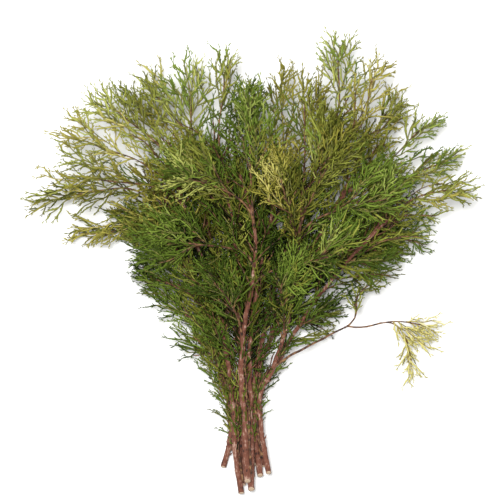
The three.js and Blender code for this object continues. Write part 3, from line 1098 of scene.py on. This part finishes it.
def scatter_tree():
    """Geometry nodes that set one of a collection's patterns on each point, turned and sized by attributes."""
    tree = bpy.data.node_groups.new("set_patterns_on_points", "GeometryNodeTree")
    sockets = tree.interface
    sockets.new_socket("Points", in_out="INPUT", socket_type="NodeSocketGeometry")
    sockets.new_socket("Patterns", in_out="INPUT", socket_type="NodeSocketCollection")
    sockets.new_socket("Material", in_out="INPUT", socket_type="NodeSocketMaterial")
    sockets.new_socket("Geometry", in_out="OUTPUT", socket_type="NodeSocketGeometry")
    given = add(tree, "NodeGroupInput").outputs
    patterns = add(
        tree, "GeometryNodeCollectionInfo", {"Collection": given["Patterns"], "Separate Children": True}
    )
    turn = add(tree, "GeometryNodeInputNamedAttribute", {"Name": "turn"}, data_type="FLOAT_VECTOR")
    size = add(tree, "GeometryNodeInputNamedAttribute", {"Name": "size"}, data_type="FLOAT_VECTOR")
    which = add(tree, "GeometryNodeInputNamedAttribute", {"Name": "which"}, data_type="INT")
    rotation = add(tree, "FunctionNodeEulerToRotation", {"Euler": turn.outputs[0]})
    placed = add(
        tree,
        "GeometryNodeInstanceOnPoints",
        {
            "Points": given["Points"],
            "Instance": patterns.outputs[0],
            "Pick Instance": True,
            "Instance Index": which.outputs[0],
            "Rotation": rotation.outputs[0],
            "Scale": size.outputs[0],
        },
    )
    real = add(tree, "GeometryNodeRealizeInstances", {"Geometry": placed.outputs[0]})
    painted = add(
        tree, "GeometryNodeSetMaterial", {"Geometry": real.outputs[0], "Material": given["Material"]}
    )
    add(tree, "NodeGroupOutput", {"Geometry": painted.outputs[0]})
    return tree


def scattered(name, placings, patterns, material):
    """One mesh of patterns: each placing is a point, a run, a face, a size in each direction and a pattern."""
    tree = bpy.data.node_groups.get("set_patterns_on_points") or scatter_tree()
    holder = bpy.data.meshes.new(name + "_points")
    holder.from_pydata([tuple(p[0]) for p in placings], [], [])
    turns, sizes, picks = [], [], []
    for _, run, face, size, which in placings:
        side = unit(np.cross(run, face))
        turns += Matrix(np.stack([side, run, np.cross(side, run)], axis=1).tolist()).to_euler()[:]
        sizes += list(size)
        picks.append(which)
    holder.attributes.new("turn", "FLOAT_VECTOR", "POINT").data.foreach_set("vector", turns)
    holder.attributes.new("size", "FLOAT_VECTOR", "POINT").data.foreach_set("vector", sizes)
    holder.attributes.new("which", "INT", "POINT").data.foreach_set("value", picks)
    points = bpy.data.objects.new(name + "_points", holder)
    bpy.context.scene.collection.objects.link(points)
    modifier = points.modifiers.new("patterns", "NODES")
    modifier.node_group = tree
    inputs = {item.name: item.identifier for item in tree.interface.items_tree if item.in_out == "INPUT"}
    modifier[inputs["Patterns"]] = patterns
    modifier[inputs["Material"]] = material
    graph = bpy.context.evaluated_depsgraph_get()
    mesh = bpy.data.meshes.new_from_object(points.evaluated_get(graph), depsgraph=graph)
    mesh.name = name
    bpy.data.objects.remove(points)
    bpy.data.meshes.remove(holder)
    if not mesh.polygons:
        raise RuntimeError(f"no pattern was placed on {name}")
    return mesh


# ---------------------------------------------------------------- operators


PATTERNS = ("spray_axes", "spray_branchlets")


class CYPRESS_OT_patterns(bpy.types.Operator):
    """Makes the patterns that the sprays are copies of"""

    bl_idname = "cypress.patterns"
    bl_label = "Spray patterns"

    def execute(self, context):
        sizes = context.scene.cypress_sprays
        rng = np.random.default_rng(sizes.seed)
        groups = [bpy.data.collections.new(name) for name in PATTERNS]
        for group in groups:
            context.scene.collection.children.link(group)
        for step, size in enumerate((sizes.short, sizes.middle, sizes.long)):
            for variant in range(sizes.variants):
                name = f"spray_{step}{variant}"
                bushy = variant / max(sizes.variants - 1, 1)
                for group, mesh in zip(groups, spray_pattern(name, size, bushy, sizes, rng)):
                    group.objects.link(bpy.data.objects.new(mesh.name, mesh))
        return {"FINISHED"}


class CYPRESS_OT_stems(bpy.types.Operator):
    """Makes the bark of the stems and boughs, and the pale cut ends"""

    bl_idname = "cypress.stems"
    bl_label = "Stems and boughs"

    def execute(self, context):
        bark = context.scene.cypress_bark
        limbs = grown(context.scene)["limbs"]
        material = bark_material(bark)
        rng = np.random.default_rng(BARK_SEED)
        stems, boughs, shoots, cuts = Builder(), Builder(), Builder(), []
        for index, (name, line) in enumerate(limbs.items()):
            if name in STEMS:
                slope = bark.cut_slope * (0.6 + 0.6 * rng.random())
                cuts.append(bark_tube(stems, line, bark.stem_sides, bark, rng, index, slope))
                bark_stubs(stems, line, context.scene.cypress_growth.bare_stem, bark, rng)
            else:
                bark_tube(shoots if name in SHOOTS else boughs, line, bark.bough_sides, bark, rng, index)
        finished("stem_bark", stems.mesh("stem_bark"), material, STEMS)
        side_boughs = [name for name in PARENTS if name not in SHOOTS]
        finished("bough_bark", boughs.mesh("bough_bark"), material, side_boughs)
        finished("shoot_bark", shoots.mesh("shoot_bark"), twig_material("brown", bark), SHOOTS)
        self.make_cut_ends(cuts, bark)
        return {"FINISHED"}

    def make_cut_ends(self, cuts, bark):
        """A thin disc of wood on each slanting cut, a little smaller than the bark round it."""
        builder, spots = Builder(), []
        for rim in cuts:
            rim = np.asarray(rim)
            centre = rim.mean(axis=0)
            normal = unit(np.cross(rim[1] - centre, rim[0] - centre))
            loops = []
            for out, rise in ((0.9, -0.4), (0.86, 0.25), (0.45, 0.45)):
                loops.append(builder.ring(centre + out * (rim - centre) + rise * MM * normal))
                spots += [
                    (out * math.cos(a), out * math.sin(a))
                    for a in np.arange(len(rim)) * 2 * math.pi / len(rim)
                ]
            for low, high in zip(loops[:-1], loops[1:]):
                builder.join(high, low)
            ends = builder.ring([centre + 0.5 * MM * normal, centre - 0.4 * MM * normal])
            spots += [(0.0, 0.0)] * 2
            builder.fan(loops[-1], ends[0], outward=False)
            builder.fan(loops[0], ends[1])
        mesh = builder.mesh("cut_ends")
        layer = mesh.uv_layers.new(name="cut")
        for loop in mesh.loops:
            layer.data[loop.index].uv = spots[loop.vertex_index]
        finished("cut_ends", mesh, cut_wood_material(bark), [])


class CYPRESS_OT_twigs(bpy.types.Operator):
    """Makes the twigs that carry the sprays"""

    bl_idname = "cypress.twigs"
    bl_label = "Twigs"

    def execute(self, context):
        bark = context.scene.cypress_bark
        builders = {"brown": Builder(), "green": Builder()}
        for twig in grown(context.scene)["twigs"]:
            rod(builders["green" if twig.young else "brown"], twig.points, twig.radii, bark.twig_sides)
        rng = np.random.default_rng(DEAD_TWIG_SEED)
        for name in STEMS:
            for _ in range(bark.bare_twigs):
                bare_twig(builders["brown"], grown(context.scene)["limbs"][name], bark, rng)
        for kind, builder in builders.items():
            mesh = builder.mesh(kind + "_twigs")
            rest_on_table(mesh)
            finished(kind + "_twigs", mesh, twig_material(kind, bark), [])
        return {"FINISHED"}


class CYPRESS_OT_foliage(bpy.types.Operator):
    """Sets sprays along the twigs, one mesh for each tint"""

    bl_idname = "cypress.foliage"
    bl_label = "Foliage"

    def execute(self, context):
        scene = context.scene
        sizes = scene.cypress_sprays
        axes, branchlets = (bpy.data.collections[name] for name in PATTERNS)
        lengths = (sizes.short, sizes.middle, sizes.long)
        rng = np.random.default_rng(sizes.seed + 1)
        placings, masses, stalks = {}, {}, {"brown": [], "green": [], "pale": []}
        for spray in grown(scene)["sprays"]:
            step = min(range(3), key=lambda k: abs(lengths[k] - spray.size))
            stretch = spray.size / lengths[step]
            outward = min(1.0, math.hypot(spray.foot[0], spray.foot[1]) / RIM)
            bushy = 0.8 * (1 - outward**2) + rng.normal(0, 0.2)
            which = step * sizes.variants + min(max(int(bushy * sizes.variants), 0), sizes.variants - 1)
            flip = 1 if rng.random() < 0.5 else -1
            size = (0.5 * (1 + stretch), stretch, 0.5 * (1 + stretch))
            placing = (spray.foot, spray.run, flip * spray.face, size, which)
            tint = tint_of(spray, rng)
            placings.setdefault(tint, []).append(placing)
            masses.setdefault(tint, set()).add(spray.mass)
            # The axes follow the tone: brown under the deepest tint, the painted shade, as are most on the
            # limbs; pale under the light gold and pale sprays, the painted light.
            brown = tint[1] == 0 or (spray.inner and rng.random() < 0.8)
            pale = tint[0] == "foliage_pale" or (tint[0] == "foliage_gold" and tint[1] > 2)
            stalks["brown" if brown else "pale" if pale else "green"].append(placing)
        for (slot, step), placing in sorted(placings.items()):
            tint = f"{slot}_{step}"
            material = leaf_material(tint, getattr(scene.cypress_tints, tint))
            mesh = scattered(tint, placing, branchlets, material)
            rest_on_table(mesh)
            finished(tint, mesh, material, sorted(masses[slot, step]))
        bark = scene.cypress_bark
        for name, placing in stalks.items():
            material = twig_material(name, bark)
            mesh = scattered(name + "_spray_axes", placing, axes, material)
            rest_on_table(mesh)
            finished(name + "_spray_axes", mesh, material, [])
        for group in (axes, branchlets):
            for pattern in list(group.objects):
                bpy.data.objects.remove(pattern)
            bpy.data.collections.remove(group)
        return {"FINISHED"}


class CYPRESS_OT_stage(bpy.types.Operator):
    """Makes the table top, the light and the camera"""

    bl_idname = "cypress.stage"
    bl_label = "Stage"

    def execute(self, context):
        scene, stage = context.scene, context.scene.cypress_stage
        low, high = (Vector(corner) for corner in CAD_BOX)
        half = stage.floor_size / 2
        level = low.z - TABLE_GAP
        around = ((-half, -half), (half, -half), (half, half), (-half, half))
        builder = Builder()
        builder.faces.append(tuple(builder.ring([(x, y, level) for x, y in around])))
        mesh = builder.mesh("table_top")
        material, tree = new_material("matt_white_board")
        shader = add(tree, "ShaderNodeBsdfPrincipled", {"Base Color": tuple(stage.floor), "Roughness": 0.9})
        add(tree, "ShaderNodeOutputMaterial", {"Surface": shader.outputs["BSDF"]})
        mesh.materials.append(material)
        floor = bpy.data.objects.new("table_top", mesh)
        scene.collection.objects.link(floor)

        world = bpy.data.worlds.new("soft_white_room")
        world.use_nodes = True
        world.node_tree.nodes["Background"].inputs["Color"].default_value = (1, 1, 1, 1)
        world.node_tree.nodes["Background"].inputs["Strength"].default_value = stage.sky
        scene.world = world
        self.add_light(scene, "key_light", LAMP_PLACE, LAMP_SIDE, stage.key_power)

        middle = (low + high) / 2
        camera = bpy.data.cameras.new("camera")
        camera.sensor_width = 36
        camera.lens = camera.sensor_width * stage.camera_height / stage.view_width
        camera.clip_end = 100
        holder = bpy.data.objects.new("camera", camera)
        holder.location = middle + Vector((stage.aim_x, stage.aim_y, stage.camera_height))
        scene.collection.objects.link(holder)
        scene.camera = holder
        scene.view_settings.view_transform = "Standard"
        return {"FINISHED"}

    def add_light(self, scene, name, place, size, power):
        """A square lamp that points at the middle of the bunch."""
        lamp = bpy.data.lights.new(name, "AREA")
        lamp.size = size
        lamp.energy = power
        holder = bpy.data.objects.new(name, lamp)
        holder.location = place
        holder.rotation_euler = (-place).to_track_quat("-Z", "Y").to_euler()
        scene.collection.objects.link(holder)


STEPS = (
    CYPRESS_OT_patterns,
    CYPRESS_OT_stems,
    CYPRESS_OT_twigs,
    CYPRESS_OT_foliage,
    CYPRESS_OT_stage,
)
GROUPS = {
    "cypress_bark": CypressBark,
    "cypress_sprays": CypressSprays,
    "cypress_growth": CypressGrowth,
    "cypress_tints": CypressTints,
    "cypress_stage": CypressStage,
}


class CYPRESS_PT_panel(bpy.types.Panel):
    """Lists the steps that make the bunch, and their sizes and colours"""

    bl_idname = "CYPRESS_PT_panel"
    bl_label = "Cut cypress bunch"
    bl_space_type = "VIEW_3D"
    bl_region_type = "UI"
    bl_category = "Cypress"

    def draw(self, context):
        for step in STEPS:
            self.layout.operator(step.bl_idname)
        for key, group in GROUPS.items():
            box = self.layout.box()
            for name in group.__annotations__:
                box.prop(getattr(context.scene, key), name)


def register():
    for group in GROUPS.values():
        bpy.utils.register_class(group)
    for key, group in GROUPS.items():
        setattr(bpy.types.Scene, key, PointerProperty(type=group))
    for part in (*STEPS, CYPRESS_PT_panel):
        bpy.utils.register_class(part)


def unregister():
    for part in (CYPRESS_PT_panel, *reversed(STEPS)):
        bpy.utils.unregister_class(part)
    for key, group in reversed(GROUPS.items()):
        delattr(bpy.types.Scene, key)
        bpy.utils.unregister_class(group)


def main():
    register()
    for step in STEPS:
        _, action = step.bl_idname.split(".")
        getattr(bpy.ops.cypress, action)()


if __name__ == "__main__":
    main()
